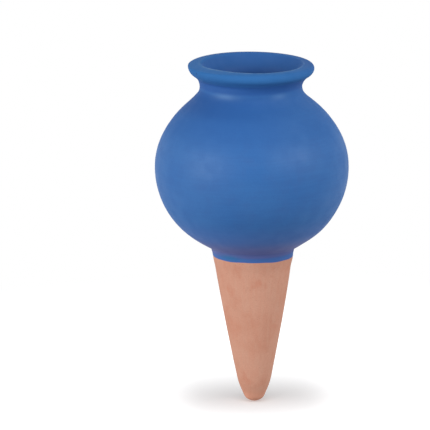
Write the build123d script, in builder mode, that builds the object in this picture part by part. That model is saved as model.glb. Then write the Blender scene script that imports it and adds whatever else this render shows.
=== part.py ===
from build123d import *
from math import acos, asin, atan2, cos, degrees, radians, sin, sqrt, tan
import os

# A watering spike for a plant pot. A clay globe with an open neck holds the water, and a hollow cone
# of bare, porous clay lets it seep into the soil. The globe is thrown, the cone is cast, and the two
# are luted together with slip: a spigot on the cone sits in a socket through the globe's floor. The
# fired globe is sprayed with matt waterproof paint, from just under the joint up over the rim and
# down into the neck. Nothing on it moves.
#
# Millimetres, +Z up. The origin is on the axis at the soil line, which is the paint's lower edge:
# the bare cone goes into the soil up to there.

# Spike, outside: a ball at the tip, a nose that curves, and a long flank that is a little convex
spike_length = 50.0
tip_radius = 3.5
tip_angle = 32.0
nose_radius = 21.0
flank_angle = 12.0
soil_line_radius = 13.15

# Spike, top: a level shoulder carries the globe, and the spigot stands up inside the shoulder
shoulder_height = 2.6
spigot_inset = 1.55
spigot_wall = 1.9
well_mouth_round = 0.7

# Spike, inside: a well that tapers down to a ball over the solid tip
tip_floor = 6.0
well_end_radius = 1.9

# Globe: a half oval below the belly and one above it. Each is a belly arc, which is centred its
# offset out from the axis, turns through its angle, and runs on into a cap centred on the axis
belly_radius = 32.15
base_offset = 3.9
base_angle = 50.0
crown_offset = 8.01
crown_angle = 27.5
wall = 3.0
floor_wall = 4.0
foot_width = 1.33

# Neck: a short straight throat, and outside it a waist
throat_radius = 14.2
throat_length = 3.0
throat_lower_round = 6.0
neck_wall = 2.73
waist_lower_round = 5.9
waist_upper_round = 5.3

# Rim: it turns out from the waist to a thick lip, whose top rises a little to its inner edge
rim_overhang = 3.84
rim_under_round = 2.95
lip_outer_round = 0.45
lip_width = 3.0
lip_slope_angle = 6.0
lip_inner_round = 0.6

# Slip: a film all round the spigot, and outside a cove that is wiped smooth with a finger
slip_film = 0.35
cove_lap = 0.5

# Paint: it goes in past the throat as far as the spray reaches round the curve under it
paint_thickness = 0.2
paint_reach_share = 0.5


def along(angle):
    """A unit step at an angle round from the radius outwards, with up as the positive turn."""
    return Vector(cos(radians(angle)), sin(radians(angle)))


def half_oval(radius, offset, angle):
    """Belly arc radius, cap radius, and how far the cap's centre lies beyond the belly's height."""
    belly_arc = radius - offset
    return belly_arc, belly_arc + offset / cos(radians(angle)), offset * tan(radians(angle))


# The spike's outline up to the soil line, drawn as radius across and height up. A straight stretch
# carries it on to the shoulder, hidden by the slip and the paint
with BuildLine() as spike_outline:
    ball = JernArc((0, -spike_length), (1, 0), tip_radius, 90 - tip_angle)
    nose = JernArc(ball @ 1, ball % 1, nose_radius, tip_angle - flank_angle)
    flank = TangentArc(nose @ 1, (soil_line_radius, 0), tangent=nose % 1)
soil_line = flank @ 1
rise = flank % 1
shoulder_edge = soil_line + rise * (shoulder_height / rise.Y)

# The socket takes the spigot with a film of slip, and the foot is a flat ring round the socket,
# one film above the shoulder
spigot_radius = soil_line_radius - spigot_inset
socket_radius = spigot_radius + slip_film
foot_radius = socket_radius + foot_width
foot_height = shoulder_height + slip_film

# Outside and inside ovals of the globe, which stands on its foot. A floor thicker than the wall
# takes a larger offset, by the rise of the oval's pole for each millimetre of offset
pole_share = 1 + tan(radians(base_angle)) - 1 / cos(radians(base_angle))
floor_offset = base_offset + (floor_wall - wall) / pole_share
base_arc, base_cap, base_beyond = half_oval(belly_radius, base_offset, base_angle)
crown_arc, crown_cap, crown_beyond = half_oval(belly_radius, crown_offset, crown_angle)
floor_arc, floor_cap, floor_beyond = half_oval(belly_radius - wall, floor_offset, base_angle)
vault_arc, vault_cap, vault_beyond = half_oval(belly_radius - wall, crown_offset, crown_angle)
foot_angle = degrees(asin(foot_radius / base_cap)) - 90
base_centre = Vector(0, foot_height + sqrt(base_cap**2 - foot_radius**2))
belly_height = base_centre.Y - base_beyond
crown_centre = Vector(0, belly_height - crown_beyond)
floor_centre = Vector(0, belly_height + floor_beyond)
vault_centre = Vector(0, belly_height - vault_beyond)

# The spigot's top is flush with the floor round it, so that the globe drains to the last drop
floor_angle = degrees(asin(socket_radius / floor_cap)) - 90
spigot_top = (floor_centre + along(floor_angle) * floor_cap).Y

# The cove laps down over the shoulder's edge and touches the base, which settles its radius
cove_start = shoulder_edge - rise * (cove_lap / rise.Y)
cove_side = Vector(rise.Y, -rise.X)
cove_reach = cove_start - base_centre
cove_radius = (cove_reach.dot(cove_reach) - base_cap**2) / (base_cap - cove_side.dot(cove_reach)) / 2
cove_centre = cove_start + cove_side * cove_radius
cove_end_angle = degrees(atan2(cove_centre.Y - base_centre.Y, cove_centre.X))
cove_turn = cove_end_angle + 90 - degrees(atan2(rise.Y, rise.X))

# The waist's lower round touches the crown, and its upper round touches the round under the rim
waist_radius = throat_radius + neck_wall
waist_angle = degrees(acos((waist_radius + waist_lower_round) / (crown_cap + waist_lower_round)))
waist_height = (crown_centre + along(waist_angle) * (crown_cap + waist_lower_round)).Y
rim_radius = waist_radius + rim_overhang
rim_angle = degrees(acos(1 - rim_overhang / (waist_upper_round + rim_under_round)))
rim_height = waist_height + (along(rim_angle) * (waist_upper_round + rim_under_round)).Y

# The round under the throat touches the vault
throat_angle = degrees(acos((throat_radius + throat_lower_round) / (vault_cap + throat_lower_round)))
throat_height = (vault_centre + along(throat_angle) * (vault_cap + throat_lower_round)).Y

# The lip's top touches both its rounds, and the flare inside it touches the inner round and the throat
lip_across = along(180 - lip_slope_angle)
lip_up = along(90 - lip_slope_angle)
lip_outer_centre = Vector(rim_radius - lip_outer_round, rim_height)
lip_inner_centre = lip_outer_centre + lip_up * (lip_outer_round - lip_inner_round) + lip_across * lip_width
flare_run = lip_inner_centre.X - throat_radius
flare_rise = lip_inner_centre.Y - throat_height - throat_length
flare_round = (flare_run**2 + flare_rise**2 - lip_inner_round**2) / (flare_run - lip_inner_round) / 2
flare_angle = degrees(asin(flare_rise / (flare_round - lip_inner_round)))


def globe_outline(proud):
    """From the cove out round the globe, up the neck, over the lip and down the throat."""
    base = CenterArc(base_centre, base_cap + proud, cove_end_angle, -base_angle - cove_end_angle)
    low_belly = JernArc(base @ 1, base % 1, base_arc + proud, base_angle)
    high_belly = JernArc(low_belly @ 1, low_belly % 1, crown_arc + proud, crown_angle)
    crown = JernArc(high_belly @ 1, high_belly % 1, crown_cap + proud, waist_angle - crown_angle)
    waist = JernArc(crown @ 1, crown % 1, waist_lower_round - proud, -waist_angle)
    neck = JernArc(waist @ 1, waist % 1, waist_upper_round - proud, -rim_angle)
    rim = JernArc(neck @ 1, neck % 1, rim_under_round + proud, rim_angle)
    lip_edge = JernArc(rim @ 1, rim % 1, lip_outer_round + proud, 90 - lip_slope_angle)
    lip = Line(lip_edge @ 1, lip_edge @ 1 + lip_across * lip_width)
    mouth = JernArc(lip @ 1, lip % 1, lip_inner_round + proud, 90 + lip_slope_angle - flare_angle)
    flare = JernArc(mouth @ 1, mouth % 1, flare_round + proud, flare_angle)
    return Line(flare @ 1, (throat_radius - proud, throat_height))


def painted_outline(proud):
    """All that is painted, from the soil line up and into the neck, with its first and last places."""
    band = Line(soil_line + cove_side * proud, cove_start + cove_side * proud)
    JernArc(band @ 1, rise, cove_radius - proud, cove_turn)
    throat = globe_outline(proud)
    under = JernArc(throat @ 1, throat % 1, throat_lower_round + proud, throat_angle * paint_reach_share)
    return band @ 0, under @ 1


# Spike: cast in a plaster mould in bare clay, fired unglazed so that it stays porous
well_radius = spigot_radius - spigot_wall
well_end = Vector(0, tip_floor + well_end_radius - spike_length)
well_mouth = Vector(well_radius, 0) - well_end
well_taper = degrees(atan2(well_mouth.X, well_mouth.Y) - asin(well_end_radius / well_mouth.length))
with BuildPart() as spike:
    with BuildSketch(Plane.XZ):
        with BuildLine():
            add(spike_outline.line)
            Polyline(
                soil_line,
                shoulder_edge,
                (spigot_radius, shoulder_height),
                (spigot_radius, spigot_top),
                (well_radius, spigot_top),
                (well_radius, 0),
            )
            well_floor = CenterArc(well_end, well_end_radius, -90, 90 - well_taper)
            Line(well_floor @ 1, (well_radius, 0))
            Line(well_floor @ 0, ball @ 0)
        make_face()
    revolve(axis=Axis.Z)
    spigot_rim = spike.faces().filter_by(Plane.XY).sort_by(Axis.Z)[-1]
    fillet(spigot_rim.inner_wires().edges(), well_mouth_round)

# Globe: thrown in one with its neck and rim, its foot turned flat and cut through for the spigot
with BuildPart() as reservoir_bowl:
    with BuildSketch(Plane.XZ):
        with BuildLine():
            CenterArc(base_centre, base_cap, foot_angle, cove_end_angle - foot_angle)
            throat = globe_outline(0)
            under = JernArc(throat @ 1, throat % 1, throat_lower_round, throat_angle)
            vault = JernArc(under @ 1, under % 1, vault_cap, crown_angle - throat_angle)
            high_side = JernArc(vault @ 1, vault % 1, vault_arc, -crown_angle)
            low_side = JernArc(high_side @ 1, high_side % 1, floor_arc, -base_angle)
            floor = JernArc(low_side @ 1, low_side % 1, floor_cap, floor_angle + base_angle)
            Polyline(floor @ 1, (socket_radius, foot_height), (foot_radius, foot_height))
        make_face()
    revolve(axis=Axis.Z)

# Slip: it lines the socket, beds the foot on the shoulder, and swells out into the cove
with BuildPart() as joint_slip:
    with BuildSketch(Plane.XZ):
        with BuildLine():
            JernArc(cove_start, rise, cove_radius, cove_turn)
            CenterArc(base_centre, base_cap, foot_angle, cove_end_angle - foot_angle)
            Polyline(
                (foot_radius, foot_height),
                (socket_radius, foot_height),
                (socket_radius, spigot_top),
                (spigot_radius, spigot_top),
                (spigot_radius, shoulder_height),
                shoulder_edge,
                cove_start,
            )
        make_face()
    revolve(axis=Axis.Z)

# Paint: one even coat on all that shows above the soil line, and into the throat
with BuildPart() as colour_coat:
    with BuildSketch(Plane.XZ):
        with BuildLine():
            clay_foot, clay_end = painted_outline(0)
            paint_foot, paint_end = painted_outline(paint_thickness)
            Line(clay_foot, paint_foot)
            Line(clay_end, paint_end)
        make_face()
    revolve(axis=Axis.Z)

spike.part.label = "spike"
reservoir_bowl.part.label = "reservoir_bowl"
joint_slip.part.label = "joint_slip"
colour_coat.part.label = "colour_coat"

os.makedirs("parts", exist_ok=True)
export_step(spike.part, "parts/spike.step")
export_step(reservoir_bowl.part, "parts/reservoir_bowl.step")
export_step(joint_slip.part, "parts/joint_slip.step")
export_step(colour_coat.part, "parts/colour_coat.step")
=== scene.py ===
from math import acos, asin, atan2, ceil, cos, degrees, exp, hypot, pi, radians, sin, sqrt, tan

import bpy
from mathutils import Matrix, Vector, noise


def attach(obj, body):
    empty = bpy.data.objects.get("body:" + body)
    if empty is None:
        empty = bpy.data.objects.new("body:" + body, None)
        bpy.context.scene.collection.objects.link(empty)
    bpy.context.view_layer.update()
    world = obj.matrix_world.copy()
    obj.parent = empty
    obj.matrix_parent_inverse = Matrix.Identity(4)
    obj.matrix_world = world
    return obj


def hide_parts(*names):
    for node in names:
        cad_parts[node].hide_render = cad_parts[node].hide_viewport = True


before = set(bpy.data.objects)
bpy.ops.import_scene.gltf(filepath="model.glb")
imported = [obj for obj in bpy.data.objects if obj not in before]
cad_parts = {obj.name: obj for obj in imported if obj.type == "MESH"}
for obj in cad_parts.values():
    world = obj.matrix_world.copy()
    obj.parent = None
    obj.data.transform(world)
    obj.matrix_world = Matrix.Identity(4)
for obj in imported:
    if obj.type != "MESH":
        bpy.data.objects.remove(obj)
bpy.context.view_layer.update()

# Spike: a hollow cone of bare terracotta with a round solid tip and a spigot on top. It is cast in
# slip in a plaster mould, scraped along its length while leather hard, and fired without a glaze so
# that water seeps through it. The spigot is luted into the socket in the globe's floor.
mm = 0.001
spike_length = 50 * mm
tip_radius = 3.5 * mm
tip_angle = 32
nose_radius = 21 * mm
flank_angle = 12
soil_line_radius = 13.15 * mm
shoulder_height = 2.6 * mm
spigot_inset = 1.55 * mm
spigot_wall = 1.9 * mm
well_mouth_round = 0.7 * mm
tip_floor = 6 * mm
well_end_radius = 1.9 * mm


def step(angle):
    """A unit step at an angle round from the radius outwards, with up as the positive turn."""
    return Vector((cos(radians(angle)), sin(radians(angle))))


def eased(value, low, high):
    """How far a value has come from low to high, as a share with soft ends."""
    share = min(1, max(0, (value - low) / (high - low)))
    return share * share * (3 - 2 * share)


class Rib:
    """Half an outline of turned clay, walked in radius and height with the clay on the left."""

    def __init__(self, place, heading, touch=None):
        self.place = Vector(place)
        self.heading = heading
        self.touch = touch
        self.stretches = []

    def straight(self, length):
        start, heading = self.place, self.heading
        self.stretches.append((length, 0, self.touch, lambda share: (
            start + step(heading) * length * share, heading)))
        self.place = start + step(heading) * length

    def straight_to(self, place):
        reach = Vector(place) - self.place
        self.heading = degrees(atan2(reach.y, reach.x))
        self.straight(reach.length)

    def arc(self, radius, turn):
        """An arc that turns by an angle, to the left where the angle is positive."""
        side = 90 if turn > 0 else -90
        first = self.heading - side
        centre = self.place - step(first) * radius
        self.stretches.append((radius * radians(abs(turn)), turn, self.touch, lambda share: (
            centre + step(first + turn * share) * radius, first + side + turn * share)))
        self.place = centre + step(first + turn) * radius
        self.heading += turn

    def arc_to(self, place):
        """An arc that leaves along the present heading and ends at a place."""
        reach = Vector(place) - self.place
        bend = degrees(atan2(reach.y, reach.x)) - self.heading
        self.arc(reach.length / 2 / sin(radians(abs(bend))), 2 * bend)


# The potter's hand: how far the fired vessel is off true, as a warp of the turned form
rim_droop = 0.52 * mm
rim_waver = 0.06 * mm
rim_bulge = 0.42 * mm
rim_tuck = 0.12 * mm
mouth_lean = 1.7 * mm
neck_root_fullness = 0.5 * mm
belly_flat = 0.05 * mm
hip_fullness = 0.45 * mm
cone_top_fullness = 0.2 * mm
cone_bend = 0.12 * mm


def toward(azimuth, way):
    """1 where an azimuth lies a certain way from the axis, falling to 0 on the far side."""
    return (1 + cos(radians(azimuth - way))) / 2


def round_about(value, middle, spread):
    """1 at the middle, falling off softly either side."""
    return exp(-((value - middle) / spread) ** 2)


def off_true(radius, height, azimuth):
    """Where a point of the true form lies on the fired vessel. The joint is left true."""
    rim = eased(height, 52 * mm, 63 * mm)
    waver = 2 - sin(radians(3 * azimuth + 40))
    drop = rim * (rim_droop * toward(azimuth, 5) ** 3 + rim_waver * waver)
    swell = rim_bulge * eased(height, 57 * mm, 63 * mm) * toward(azimuth, 0) ** 4
    swell -= rim_tuck * round_about(height, 62.3 * mm, 1.2 * mm) * toward(azimuth, 180) ** 3
    in_the_mouth = eased(height, 58.5 * mm, 62 * mm) * (1 - eased(radius, 17.2 * mm, 18.8 * mm))
    swell -= mouth_lean * toward(azimuth, 228) ** 10 * in_the_mouth
    neck_root = round_about(height, 53.6 * mm, 1.5 * mm)
    swell += neck_root_fullness * neck_root * (0.35 + 0.65 * toward(azimuth, 180))
    swell -= belly_flat * (1 - cos(radians(2 * azimuth + 70))) * eased(height, 12 * mm, 28 * mm)
    hip = round_about(height, 6.5 * mm, 5.5 * mm) * toward(azimuth, 0)
    swell += hip_fullness * hip * eased(radius, 13.6 * mm, 16 * mm)
    cone_top = round_about(height, -1.2 * mm, 1.8 * mm) * (0.8 + 0.8 * toward(azimuth, 0))
    swell += cone_top_fullness * cone_top * eased(radius, 12 * mm, 13 * mm)
    swell += cone_bend * cos(radians(azimuth + 30)) * sin(pi * min(1, max(0, -height / spike_length)))
    out = radius + swell * min(1, radius / soil_line_radius)
    return Vector((out * cos(radians(azimuth)), out * sin(radians(azimuth)), height - drop))


turn_per_face = 7
crease_angle = 50


def turn_on_wheel(name, rib_at, grain, segments, marks=None):
    """A mesh turned from the outline that rib_at gives for each azimuth, open or ending on the axis."""
    plan = []
    for number, (length, turn, *_) in enumerate(rib_at(0).stretches):
        count = max(1, ceil(length / grain), ceil(abs(turn) / turn_per_face))
        plan += [(number, k / count) for k in range(count)]
    on_axis = rib_at(0).stretches[0][-1](0)[0].x < 0.001 * mm
    if on_axis:
        plan = plan[1:]
    points, values = [], {mark: [] for mark in marks or {}}
    for number in range(segments):
        azimuth = 360 * number / segments
        rib = rib_at(azimuth)
        for stretch, share in plan:
            touch, at = rib.stretches[stretch][2:]
            place, heading = at(share)
            if touch:
                place = place + step(heading - 90) * touch(place.x, place.y, azimuth)
            points.append(off_true(place.x, place.y, azimuth))
            for mark, measure in (marks or {}).items():
                values[mark].append(measure(place.x, place.y, azimuth))
    rows = len(plan)
    last = rows - 1 if on_axis else rows
    faces = []
    for number in range(segments):
        here, there = number * rows, (number + 1) % segments * rows
        for k in range(last):
            above = (k + 1) % rows
            faces.append((here + k, there + k, there + above, here + above))
    if on_axis:
        rib = rib_at(0)
        ends = (0, rib.stretches[0][-1](0)[0]), (rows - 1, rib.stretches[-1][-1](1)[0])
        for row, end in ends:
            points.append(off_true(0, end.y, 0))
            for mark, measure in (marks or {}).items():
                values[mark].append(measure(0, end.y, 0))
            for number in range(segments):
                here, there = number * rows + row, (number + 1) % segments * rows + row
                pole = len(points) - 1
                faces.append((there, here, pole) if row == 0 else (here, there, pole))
    mesh = bpy.data.meshes.new(name)
    mesh.from_pydata(points, [], faces)
    mesh.shade_smooth()
    mesh.set_sharp_from_angle(angle=radians(crease_angle))
    for mark, measured in values.items():
        mesh.attributes.new(mark, "FLOAT", "POINT").data.foreach_set("value", measured)
    piece = bpy.data.objects.new(name, mesh)
    bpy.context.scene.collection.objects.link(piece)
    return piece


def scrape(radius, height, azimuth):
    """Shallow facets and dents that the scraper leaves along the cone, and the tip that it blunts."""
    way = Vector((cos(radians(azimuth)), sin(radians(azimuth)), 0)) * 3.2
    facets = noise.noise(way + Vector((0, 0, height / (26 * mm))))
    dents = noise.noise(way * 2.4 + Vector((7, 3, height / (7 * mm))))
    blunt = 0.22 * mm * round_about(height, -48.5 * mm, 1.4 * mm) * eased(radius, 0.8 * mm, 3 * mm)
    scraped = eased(-height, 1 * mm, 9 * mm) * eased(radius, 0, 4 * mm)
    return blunt + (0.07 * facets + 0.035 * dents) * mm * scraped


def cone_outline():
    rib = Rib((0, -spike_length), 0, scrape)
    rib.arc(tip_radius, 90 - tip_angle)
    rib.arc(nose_radius, tip_angle - flank_angle)
    rib.arc_to((soil_line_radius, 0))
    return rib


soil_line_heading = cone_outline().heading
shoulder_edge = Vector((soil_line_radius, 0)) + step(soil_line_heading) * (
    shoulder_height / sin(radians(soil_line_heading)))
spigot_radius = soil_line_radius - spigot_inset
well_radius = spigot_radius - spigot_wall
spigot_top = 6.5765 * mm
well_end = Vector((0, tip_floor + well_end_radius - spike_length))
well_mouth = Vector((well_radius, 0)) - well_end
well_taper = degrees(atan2(well_mouth.x, well_mouth.y) - asin(well_end_radius / well_mouth.length))


def spike_outline(azimuth):
    """Up the outside of the cone, over the spigot and down into the well."""
    rib = cone_outline()
    rib.touch = None
    rib.straight_to(shoulder_edge)
    rib.straight_to((spigot_radius, shoulder_height))
    rib.straight_to((spigot_radius, spigot_top))
    rib.straight_to((well_radius + well_mouth_round, spigot_top))
    rib.arc(well_mouth_round, 90)
    rib.straight_to((well_radius, 0))
    rib.straight_to(well_end + step(-well_taper) * well_end_radius)
    rib.arc(well_end_radius, well_taper - 90)
    return rib


def new_finish(name):
    finish = bpy.data.materials.new(name)
    finish.use_nodes = True
    return finish, finish.node_tree.nodes["Principled BSDF"]


def add_node(finish, kind, inputs=None, **settings):
    """A node of a finish. Each input is a number, a colour or another node's output."""
    node = finish.node_tree.nodes.new("ShaderNode" + kind)
    for name, value in settings.items():
        setattr(node, name, value)
    for name, value in (inputs or {}).items():
        if isinstance(value, bpy.types.NodeSocket):
            finish.node_tree.links.new(value, node.inputs[name])
        else:
            node.inputs[name].default_value = value
    return node


def clay_place(finish, stretch=(1, 1, 1)):
    """Where a point lies on the vessel, with its pattern drawn out along an axis."""
    place = add_node(finish, "TexCoord").outputs["Object"]
    return add_node(finish, "Mapping", {"Vector": place, "Scale": stretch}).outputs["Vector"]


def mottle(finish, place, size, detail=3, roughness=0.55):
    """Cloudy noise with clouds about as wide as size."""
    return add_node(finish, "TexNoise", {
        "Vector": place, "Scale": 1 / size, "Detail": detail, "Roughness": roughness,
    }).outputs["Fac"]


def span(finish, value, low, high, start=0.0, end=1.0):
    """A value mapped from one range to another with soft ends, and kept within it."""
    return add_node(finish, "MapRange", {
        "Value": value, "From Min": low, "From Max": high, "To Min": start, "To Max": end,
    }, interpolation_type="SMOOTHSTEP").outputs["Result"]


def work_out(finish, operation, first, second):
    return add_node(finish, "Math", {0: first, 1: second}, operation=operation).outputs["Value"]


def scaled(finish, value, factor):
    return work_out(finish, "MULTIPLY", value, factor)


def tint(finish, share, under, over):
    """Colour over laid on colour under by a share."""
    return add_node(finish, "Mix", {0: share, 6: under, 7: over}, data_type="RGBA").outputs[2]


def seen_as(red, green, blue):
    """A colour as the eye reads it, from 0 to 255, as light."""
    levels = [level / 255 for level in (red, green, blue)]
    light = [level / 12.92 if level <= 0.04045 else ((level + 0.055) / 1.055) ** 2.4
             for level in levels]
    return light + [1]


def raise_grain(finish, surface, relief, strength):
    """Relief, in shares of a millimetre, as a bump in a finish."""
    bump = add_node(finish, "Bump", {"Height": relief, "Strength": strength, "Distance": 1 * mm})
    finish.node_tree.links.new(bump.outputs["Normal"], surface.inputs["Normal"])


def fired_clay(name, soil_side):
    """Unglazed terracotta: pale orange clay with redder clouds, streaks, pores and a fine grain."""
    finish, surface = new_finish(name)
    place = clay_place(finish)
    drawn = clay_place(finish, (1, 1, 0.12))
    clouds = mottle(finish, place, 14 * mm)
    streaks = mottle(finish, drawn, 1.1 * mm, 2)
    grain = mottle(finish, place, 0.35 * mm, 4, 0.7)
    red_patches = mottle(finish, place, 5 * mm, 2)
    colour = tint(finish, span(finish, clouds, 0.35, 0.68),
                  seen_as(212, 156, 133), seen_as(205, 143, 119))
    colour = tint(finish, span(finish, red_patches, 0.56, 0.74, 0, 0.55),
                  colour, seen_as(204, 134, 109))
    colour = tint(finish, span(finish, streaks, 0.3, 0.75, 0, 0.3), colour, seen_as(212, 168, 146))
    colour = tint(finish, span(finish, grain, 0.35, 0.7, 0, 0.22), colour, seen_as(170, 118, 96))
    if soil_side:
        height = add_node(finish, "SeparateXYZ", {0: place}).outputs["Z"]
        # The tip is redder, which is the clay's own colour, and lighter, which is painted bounce light
        # from the floor.
        red_and_painted_lit_tip = span(finish, height, -44.5 * mm, -50 * mm, 0, 0.6)
        colour = tint(finish, red_and_painted_lit_tip, colour, seen_as(232, 160, 132))
    pits = add_node(finish, "TexVoronoi", {"Vector": place, "Scale": 1 / (1.3 * mm), "Randomness": 1.0})
    pores = span(finish, pits.outputs["Distance"], 0.13, 0.05)
    colour = tint(finish, scaled(finish, pores, 0.35), colour, seen_as(135, 88, 70))
    finish.node_tree.links.new(span(finish, grain, 0.2, 0.8, 0.82, 0.97), surface.inputs["Roughness"])
    surface.inputs["Specular IOR Level"].default_value = 0.25
    finish.node_tree.links.new(colour, surface.inputs["Base Color"])
    relief = work_out(finish, "SUBTRACT", scaled(finish, grain, 0.05), scaled(finish, pores, 0.06))
    relief = work_out(finish, "ADD", relief, scaled(finish, streaks, 0.06))
    raise_grain(finish, surface, relief, 0.55)
    return finish


segments = 240
cone_grain = 0.6 * mm
cone = turn_on_wheel("cone", spike_outline, cone_grain, segments)
cone.data.materials.append(fired_clay("bare_terracotta", True))
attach(cone, "root")
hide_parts("spike")

# Globe: the water reservoir, thrown on the wheel in one with its waist and thick turned-out rim.
# Its foot is turned flat and cut through for the spike's spigot. The inside keeps the ridges that
# the potter's fingers drew, and is bare clay below the throat.
belly_radius = 32.15 * mm
base_offset = 3.9 * mm
base_angle = 50
crown_offset = 8.01 * mm
crown_angle = 27.5
wall = 3 * mm
floor_wall = 4 * mm
foot_width = 1.33 * mm
slip_film = 0.35 * mm
cove_lap = 0.5 * mm
throat_radius = 14.2 * mm
throat_length = 3 * mm
throat_lower_round = 6 * mm
neck_wall = 2.73 * mm
waist_lower_round = 5.9 * mm
waist_upper_round = 5.3 * mm
rim_overhang = 3.84 * mm
rim_under_round = 2.95 * mm
lip_outer_round = 0.45 * mm
lip_width = 3 * mm
lip_slope_angle = 6
lip_inner_round = 0.6 * mm


def half_oval(radius, offset, angle):
    """Belly arc radius, cap radius, and how far the cap's centre lies beyond the belly's height."""
    belly_arc = radius - offset
    return belly_arc, belly_arc + offset / cos(radians(angle)), offset * tan(radians(angle))


socket_radius = spigot_radius + slip_film
foot_radius = socket_radius + foot_width
foot_height = shoulder_height + slip_film
pole_share = 1 + tan(radians(base_angle)) - 1 / cos(radians(base_angle))
floor_offset = base_offset + (floor_wall - wall) / pole_share
base_arc, base_cap, base_beyond = half_oval(belly_radius, base_offset, base_angle)
crown_arc, crown_cap, crown_beyond = half_oval(belly_radius, crown_offset, crown_angle)
floor_arc, floor_cap, _ = half_oval(belly_radius - wall, floor_offset, base_angle)
vault_arc, vault_cap, vault_beyond = half_oval(belly_radius - wall, crown_offset, crown_angle)
foot_angle = degrees(asin(foot_radius / base_cap)) - 90
base_centre = Vector((0, foot_height + sqrt(base_cap**2 - foot_radius**2)))
belly_height = base_centre.y - base_beyond
floor_angle = degrees(asin(socket_radius / floor_cap)) - 90
waist_radius = throat_radius + neck_wall
waist_angle = degrees(acos((waist_radius + waist_lower_round) / (crown_cap + waist_lower_round)))
waist_rise = (crown_cap + waist_lower_round) * sin(radians(waist_angle))
waist_height = belly_height - crown_beyond + waist_rise
rim_radius = waist_radius + rim_overhang
rim_angle = degrees(acos(1 - rim_overhang / (waist_upper_round + rim_under_round)))
rim_height = waist_height + (waist_upper_round + rim_under_round) * sin(radians(rim_angle))
throat_angle = degrees(acos((throat_radius + throat_lower_round) / (vault_cap + throat_lower_round)))
throat_rise = (vault_cap + throat_lower_round) * sin(radians(throat_angle))
throat_height = belly_height - vault_beyond + throat_rise
lip_across = step(180 - lip_slope_angle)
lip_up = step(90 - lip_slope_angle)
rim_centre = Vector((rim_radius - rim_under_round, rim_height))
lip_outer_centre = Vector((rim_radius - lip_outer_round, rim_height))
lip_inner_centre = (
    lip_outer_centre + lip_up * (lip_outer_round - lip_inner_round) + lip_across * lip_width)
flare_run = lip_inner_centre.x - throat_radius
flare_rise = lip_inner_centre.y - throat_height - throat_length
flare_reach = flare_run**2 + flare_rise**2 - lip_inner_round**2
flare_round = flare_reach / (flare_run - lip_inner_round) / 2
flare_angle = degrees(asin(flare_rise / (flare_round - lip_inner_round)))


def lip_softness(azimuth):
    """How round the rim's upper outer edge is: crisp at the left, and worn softest in front."""
    return (1.15 + 0.5 * toward(azimuth, 270) ** 3 - toward(azimuth, 186) ** 6) * mm


def up_and_over(rib, azimuth, proud):
    """From the base out round the globe, up the neck, over the lip and down the throat."""
    rib.arc(base_arc + proud, base_angle)
    rib.arc(crown_arc + proud, crown_angle)
    rib.arc(crown_cap + proud, waist_angle - crown_angle)
    rib.arc(waist_lower_round - proud, -waist_angle)
    rib.arc(waist_upper_round - proud, -rim_angle)
    edge_round = lip_softness(azimuth)
    lip_level = (lip_outer_centre - rim_centre).dot(lip_up) + lip_outer_round
    reach = sqrt((rim_under_round - edge_round) ** 2 - (lip_level - edge_round) ** 2)
    edge_centre = rim_centre - lip_across * reach + lip_up * (lip_level - edge_round)
    leave = degrees(atan2(edge_centre.y - rim_centre.y, edge_centre.x - rim_centre.x))
    rib.arc(rim_under_round + proud, rim_angle + leave)
    rib.arc(edge_round + proud, 90 - lip_slope_angle - leave)
    rib.straight((lip_inner_centre - edge_centre).dot(lip_across))
    rib.arc(lip_inner_round + proud, 90 + lip_slope_angle - flare_angle)
    rib.arc(flare_round + proud, flare_angle)
    rib.straight(throat_length)


ridge_spacing = 4.6 * mm
ridge_depth = 0.22 * mm


def finger_ridges(radius, height, azimuth):
    """The spiral that the fingers leave inside the wall as it is drawn up, faded at both ends."""
    strength = eased(height, 9 * mm, 16 * mm) * (1 - eased(height, 50 * mm, 54 * mm))
    turns = height / ridge_spacing - azimuth / 360
    return ridge_depth * strength * (cos(2 * pi * turns) + 0.3 * cos(4 * pi * turns + 1))


def globe_outline(azimuth):
    """The whole clay wall in section, out and in again, from the foot's outer edge."""
    rib = Rib((foot_radius, foot_height), foot_angle + 90)
    rib.arc(base_cap, -base_angle - foot_angle)
    up_and_over(rib, azimuth, 0)
    rib.arc(throat_lower_round, throat_angle)
    rib.touch = finger_ridges
    rib.arc(vault_cap, crown_angle - throat_angle)
    rib.arc(vault_arc, -crown_angle)
    rib.arc(floor_arc, -base_angle)
    rib.arc(floor_cap, floor_angle + base_angle)
    rib.touch = None
    rib.straight_to((socket_radius, foot_height))
    rib.straight_to((foot_radius, foot_height))
    return rib


globe_grain = 0.7 * mm
thrown_globe = turn_on_wheel("thrown_globe", globe_outline, globe_grain, segments)
thrown_globe.data.materials.append(fired_clay("thrown_terracotta", False))
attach(thrown_globe, "root")
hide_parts("reservoir_bowl")

# Joint slip: the same clay as thick cream, which lutes the spigot into the socket and the foot to
# the shoulder, and is wiped to a cove outside. Only its ring at the globe's floor is bare.
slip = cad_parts["joint_slip"]
slip.data.materials.clear()
slip.data.materials.append(fired_clay("fired_slip", False))

# Colour coat: matt waterproof blue paint, sprayed on the fired clay from just under the joint up
# over the rim and into the neck. It lies thin and purplish in the cove, thick in a run at the
# lower edge, and a little brighter on the rim. Painted shade darkens it on the shoulder, under the
# rim and inside the mouth, and painted highlights lie along the mouth and at the neck's root.
paint_thickness = 0.2 * mm
paint_reach_share = 0.5
edge_thickness = 0.05 * mm
edge_taper = 1.6 * mm
rise = step(soil_line_heading)
cove_start = shoulder_edge - rise * (cove_lap / rise.y)
cove_side = Vector((rise.y, -rise.x))
cove_reach = cove_start - base_centre
cove_spare = base_cap - cove_side.dot(cove_reach)
cove_radius = (cove_reach.dot(cove_reach) - base_cap**2) / cove_spare / 2
cove_centre = cove_start + cove_side * cove_radius
cove_end_angle = degrees(atan2(cove_centre.y - base_centre.y, cove_centre.x))
cove_turn = cove_end_angle + 90 - soil_line_heading


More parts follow.
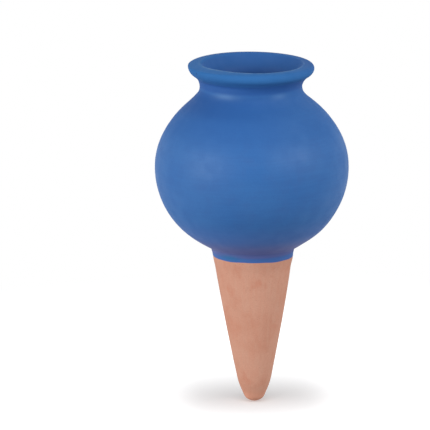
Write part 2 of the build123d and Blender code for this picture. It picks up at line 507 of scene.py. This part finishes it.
def edge_drop(azimuth):
    """How far the paint's edge lies below the soil line."""
    side = cos(radians(azimuth)) ** 2
    ripple = 0.07 * sin(radians(5 * azimuth + 20)) + 0.04 * sin(radians(11 * azimuth))
    return (0.14 + 0.4 * side - 0.55 * toward(azimuth, 195) ** 6 + ripple) * mm


def throwing_lines(radius, height, azimuth):
    """Faint level ridges in the clay that show through the paint, and slip left full in the cove."""
    level = height + 0.25 * mm * sin(radians(azimuth + 30))
    broad_lines = noise.noise(Vector((0, 0, level / (2.1 * mm))))
    fine_lines = noise.noise(Vector((9, 0, level / (0.9 * mm))))
    way = step(azimuth)
    swell = noise.noise(Vector((way.x, way.y, height / (18 * mm))) * 1.3)
    ridges = 0.022 * (broad_lines + 0.6 * fine_lines) + 0.03 * swell - 0.02
    left_full = (0.14 + 0.3 * toward(azimuth, 0) ** 2) * round_about(height, 2.9 * mm, 1.3 * mm)
    return (left_full + ridges * eased(height, 9 * mm, 14 * mm)) * mm


def coat_outline(azimuth):
    """The coat in section: up its outer face, round its end in the neck and back along the clay."""
    drop = edge_drop(azimuth)
    edge = Vector((soil_line_radius, 0)) - rise * drop
    rib = Rib(edge, soil_line_heading - 90)
    rib.straight(edge_thickness)
    rib.straight_to(edge + cove_side * paint_thickness + rise * edge_taper)
    rib.touch = throwing_lines
    rib.straight_to(cove_start + cove_side * paint_thickness)
    rib.heading = soil_line_heading
    rib.arc(cove_radius - paint_thickness, cove_turn)
    rib.arc(base_cap + paint_thickness, -base_angle - cove_end_angle)
    up_and_over(rib, azimuth, paint_thickness)
    rib.arc(throat_lower_round + paint_thickness, throat_angle * paint_reach_share)
    back = Rib(edge, soil_line_heading)
    back.straight_to(cove_start)
    back.heading = soil_line_heading
    back.arc(cove_radius, cove_turn)
    back.arc(base_cap, -base_angle - cove_end_angle)
    up_and_over(back, azimuth, 0)
    back.arc(throat_lower_round, throat_angle * paint_reach_share)
    rib.touch = None
    rib.straight_to(back.place)
    for length, turn, touch, at in reversed(back.stretches):
        rib.stretches.append((length, turn, touch, lambda share, at=at: (
            at(1 - share)[0], at(1 - share)[1] + 180)))
    return rib


def painted_lip_highlight(radius, height, azimuth):
    """The line along the mouth's inner edge where a highlight is painted, strongest in front."""
    away = hypot(radius - lip_inner_centre.x, height - lip_inner_centre.y - 0.8 * mm)
    return round_about(away, 0, 0.26 * mm) * toward(azimuth, 270) ** 2


def painted_mouth_shade(radius, height, azimuth):
    """Where shade is painted on the paint: inside the mouth, on the lip's back and at its right end."""
    right_end = toward(azimuth, 12) ** 8
    inside_radius = (16.2 + 0.8 * right_end) * mm
    inside = eased(radius, inside_radius + 0.7 * mm, inside_radius) * eased(height, 40 * mm, 45 * mm)
    back = 0.9 * eased(height, 63.4 * mm, 64.4 * mm) * toward(azimuth, 90) ** 4
    return max(inside, back, right_end * eased(height, 63.6 * mm, 64.3 * mm))


def painted_neck_highlight(radius, height, azimuth):
    """Where a highlight is painted on the neck's root, left and right of the front."""
    ways = round_about(azimuth, 239, 14) + 0.6 * round_about(azimuth, 303, 9)
    return ways * round_about(height, 56.9 * mm, 0.9 * mm) * eased(radius, 16.5 * mm, 17 * mm)


def paint_run(radius, height, azimuth):
    """A thick run of paint along the lower edge, at the front left."""
    return round_about(azimuth, 235, 17) * round_about(height, 1.3 * mm, 0.9 * mm)


# The paint's run, and where shade and highlights are painted, stored on the coat's points.
paint_run_and_painted_light = {"painted_lip_highlight": painted_lip_highlight, "painted_mouth_shade": painted_mouth_shade, "painted_neck_highlight": painted_neck_highlight,
               "paint_run": paint_run}


def marked(finish, mark, share):
    """How strongly one of the coat's stored masks, the paint run, painted shade or a painted highlight,
    shows at a point, times a share.
    """
    return scaled(finish, add_node(finish, "Attribute", attribute_name=mark).outputs["Fac"], share)


def band(finish, height, first, low, high, last, share=1.0):
    """A level band: nothing below first, a share from low to high, and nothing above last."""
    return scaled(finish, span(finish, height, first, low, 0, share), span(finish, height, last, high))


def blue_paint():
    """Matt paint, cloudy, speckled and purplish at the root, with painted shade and painted highlights.
    """
    finish, surface = new_finish("matt_blue_paint")
    place = clay_place(finish)
    level = clay_place(finish, (0.06, 0.06, 1))
    parts = add_node(finish, "SeparateXYZ", {0: place})
    height, across = parts.outputs["Z"], parts.outputs["X"]
    clouds = mottle(finish, place, 16 * mm, 2)
    patches = mottle(finish, place, 4.5 * mm, 3)
    lines = mottle(finish, level, 0.8 * mm, 2)
    speckle = mottle(finish, place, 0.45 * mm, 3, 0.6)
    # Painted shade: the shoulder and the collar under the neck are darkened, most toward the left.
    shoulder = band(finish, height, 38 * mm, 48 * mm, 56 * mm, 59 * mm, 0.7)
    shoulder = scaled(finish, shoulder, span(finish, across, 20 * mm, 4 * mm, 0.45, 1))
    collar = band(finish, height, 48 * mm, 52 * mm, 56.2 * mm, 57.4 * mm)
    collar = scaled(finish, collar, span(finish, across, 17 * mm, -15 * mm, 0, 0.7))
    rim = span(finish, height, 60.2 * mm, 61.8 * mm, 0, 0.85)
    cove = band(finish, height, 0.9 * mm, 1.9 * mm, 3.8 * mm, 9.5 * mm)
    ragged = span(finish, mottle(finish, place, 2.4 * mm, 3), 0.38, 0.62, 0.15, 0.75)
    pinhole = add_node(finish, "VectorMath", {
        0: place, 1: (-17.97 * mm, -10.27 * mm, 64 * mm)}, operation="DISTANCE").outputs["Value"]
    colour = tint(finish, span(finish, clouds, 0.35, 0.65),
                  seen_as(37, 96, 162), seen_as(43, 100, 164))
    for share, paint in (
        (span(finish, patches, 0.4, 0.7, 0, 0.5), (48, 95, 158)),
        (span(finish, lines, 0.35, 0.7, 0, 0.22), (45, 108, 174)),
        (span(finish, speckle, 0.4, 0.75, 0, 0.2), (29, 79, 143)),
        # Painted shade on the shoulder and the collar.
        (shoulder, (32, 88, 155)),
        (collar, (22, 78, 144)),
        # Painted shade in the recess under the rim.
        (band(finish, height, 57 * mm, 58.3 * mm, 60.2 * mm, 61.2 * mm, 0.8), (30, 83, 153)),
        (rim, (36, 100, 163)),
        # Painted shade inside the mouth and on the lip's back and right end.
        (marked(finish, "painted_mouth_shade", 0.75), (40, 86, 150)),
        # A painted highlight at the neck's root.
        (marked(finish, "painted_neck_highlight", 0.5), (98, 140, 190)),
        (span(finish, height, 17 * mm, 7 * mm, 0, 0.8), (61, 99, 166)),
        (scaled(finish, cove, 0.8), (84, 91, 148)),
        (marked(finish, "paint_run", 0.75), (16, 100, 150)),
        # A painted highlight along the mouth's inner edge, broken by noise.
        (marked(finish, "painted_lip_highlight", ragged), (122, 158, 186)),
        (span(finish, pinhole, 0.45 * mm, 0.15 * mm, 0, 0.8), (14, 50, 104)),
    ):
        colour = tint(finish, share, colour, seen_as(*paint))
    finish.node_tree.links.new(colour, surface.inputs["Base Color"])
    handled = band(finish, height, 14 * mm, 26 * mm, 38 * mm, 46 * mm, 0.14)
    matt = span(finish, patches, 0.3, 0.7, 0.68, 0.78)
    matt = work_out(finish, "ADD", scaled(finish, rim, 0.14), matt)
    matt = work_out(finish, "SUBTRACT", matt, handled)
    finish.node_tree.links.new(matt, surface.inputs["Roughness"])
    surface.inputs["Specular IOR Level"].default_value = 0.38
    relief = work_out(finish, "ADD", scaled(finish, lines, 0.04), scaled(finish, speckle, 0.03))
    relief = work_out(finish, "ADD", relief, scaled(finish, patches, 0.05))
    raise_grain(finish, surface, relief, 0.4)
    return finish


coat_grain = 0.5 * mm
coat = turn_on_wheel("paint_coat", coat_outline, coat_grain, segments, paint_run_and_painted_light)
coat.data.materials.append(blue_paint())
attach(coat, "root")
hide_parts("colour_coat")

# Floor: a plain white studio floor that the tip touches. It keeps the vessel's soft shadow, fades
# into the white round it, and throws a little light back up at the cone and the low globe.
floor_radius = 260 * mm
floor_sides = 96
white_from, white_by = 100 * mm, 200 * mm
shadow_keep = 0.7
floor_lift = 0.375
floor_bounce = 0.45
white = (1, 1, 1, 1)
floor_mesh = bpy.data.meshes.new("studio_floor")
ring = [step(360 * k / floor_sides) * floor_radius for k in range(floor_sides)]
floor_mesh.from_pydata([(*corner, -spike_length) for corner in ring], [], [tuple(range(floor_sides))])
studio_floor = bpy.data.objects.new("studio_floor", floor_mesh)
bpy.context.scene.collection.objects.link(studio_floor)


def glow(finish, strength):
    return add_node(finish, "Emission", {"Color": white, "Strength": strength}).outputs["Emission"]


def looked_at(finish):
    """1 for what the camera sees, straight, in gloss or through glass, and 0 for other light."""
    path = add_node(finish, "LightPath").outputs
    seen = work_out(finish, "MAXIMUM", path["Is Camera Ray"], path["Is Glossy Ray"])
    return work_out(finish, "MAXIMUM", seen, path["Is Transmission Ray"])


floor_finish, surface = new_finish("white_floor")
floor_finish.node_tree.nodes.remove(surface)
matt_floor = add_node(floor_finish, "BsdfDiffuse", {"Color": [shadow_keep] * 3 + [1]})
shaded = add_node(floor_finish, "AddShader", {
    0: matt_floor.outputs[0], 1: glow(floor_finish, floor_lift)})
away = add_node(floor_finish, "VectorMath", {0: clay_place(floor_finish)}, operation="LENGTH")
fading = span(floor_finish, away.outputs["Value"], white_from, white_by)
faded = add_node(floor_finish, "MixShader", {
    0: fading, 1: shaded.outputs[0], 2: glow(floor_finish, 1)})
either = add_node(floor_finish, "MixShader", {
    0: looked_at(floor_finish), 1: glow(floor_finish, floor_bounce), 2: faded.outputs[0]})
floor_finish.node_tree.links.new(
    either.outputs[0], floor_finish.node_tree.nodes["Material Output"].inputs["Surface"])
floor_mesh.materials.append(floor_finish)

# Light and camera: two soft boxes in front at the left and the right, white all round, and a long
# box overhead that lights the floor alone, so that the vessel's shadow lies round its tip. The
# camera stands far off, a little above, with the vessel right of its middle.
elevation = 12.5
camera_distance = 6000 * mm
camera_reach = 20000 * mm
box_distance = 800 * mm
room_light = 0.4
view_width = 143.3 * mm
axis_aside = 12.44 * mm
middle_height = 13.54 * mm
lean = -0.67


def lit_only(name, link_state):
    """The floor alone, or all but the floor, as what a lamp lights."""
    lit = bpy.data.collections.new(name)
    lit.objects.link(studio_floor)
    lit.collection_objects[0].light_linking.link_state = link_state
    return lit


def soft_box(name, azimuth, height_angle, width, height, power, lit):
    """A lamp at an angle right of the camera and above the level, turned to the vessel's middle."""
    box = bpy.data.lights.new(name, "AREA")
    box.shape, box.size, box.size_y, box.energy = "RECTANGLE", width, height, power
    lamp = bpy.data.objects.new(name, box)
    out, up = step(height_angle) * box_distance
    way = step(azimuth - 90) * out
    lamp.location = (way.x, way.y, up + middle_height)
    sight = Vector((0, 0, middle_height)) - lamp.location
    lamp.rotation_euler = sight.to_track_quat("-Z", "Y").to_euler()
    lamp.light_linking.receiver_collection = lit
    bpy.context.scene.collection.objects.link(lamp)


floor_alone = lit_only("floor_alone", "INCLUDE")
all_but_floor = lit_only("all_but_floor", "EXCLUDE")
soft_box("left_box", -54, 15, 560 * mm, 520 * mm, power=4.6, lit=all_but_floor)
soft_box("right_box", 58, 32, 520 * mm, 520 * mm, power=3.9, lit=all_but_floor)
soft_box("floor_box", 3, 83.5, 325 * mm, 775 * mm, power=10.6, lit=floor_alone)

world = bpy.data.worlds.new("white_room")
world.use_nodes = True
bpy.context.scene.world = world
room = world.node_tree.nodes["Background"]
room.inputs["Color"].default_value = white
room_level = span(world, looked_at(world), 0, 1, room_light, 1)
world.node_tree.links.new(room_level, room.inputs["Strength"])

camera = bpy.data.objects.new("camera", bpy.data.cameras.new("camera"))
camera.data.lens = camera.data.sensor_width * camera_distance / view_width
camera.data.clip_end = camera_reach
aim = Vector((-axis_aside, 0, middle_height))
back = Vector((0, -cos(radians(elevation)), sin(radians(elevation))))
camera.location = aim + back * camera_distance
camera.rotation_euler = (-back).to_track_quat("-Z", "Y").to_euler()
camera.rotation_euler.rotate_axis("Z", radians(lean))
bpy.context.scene.collection.objects.link(camera)
bpy.context.scene.camera = camera
bpy.context.scene.view_settings.view_transform = "Standard"
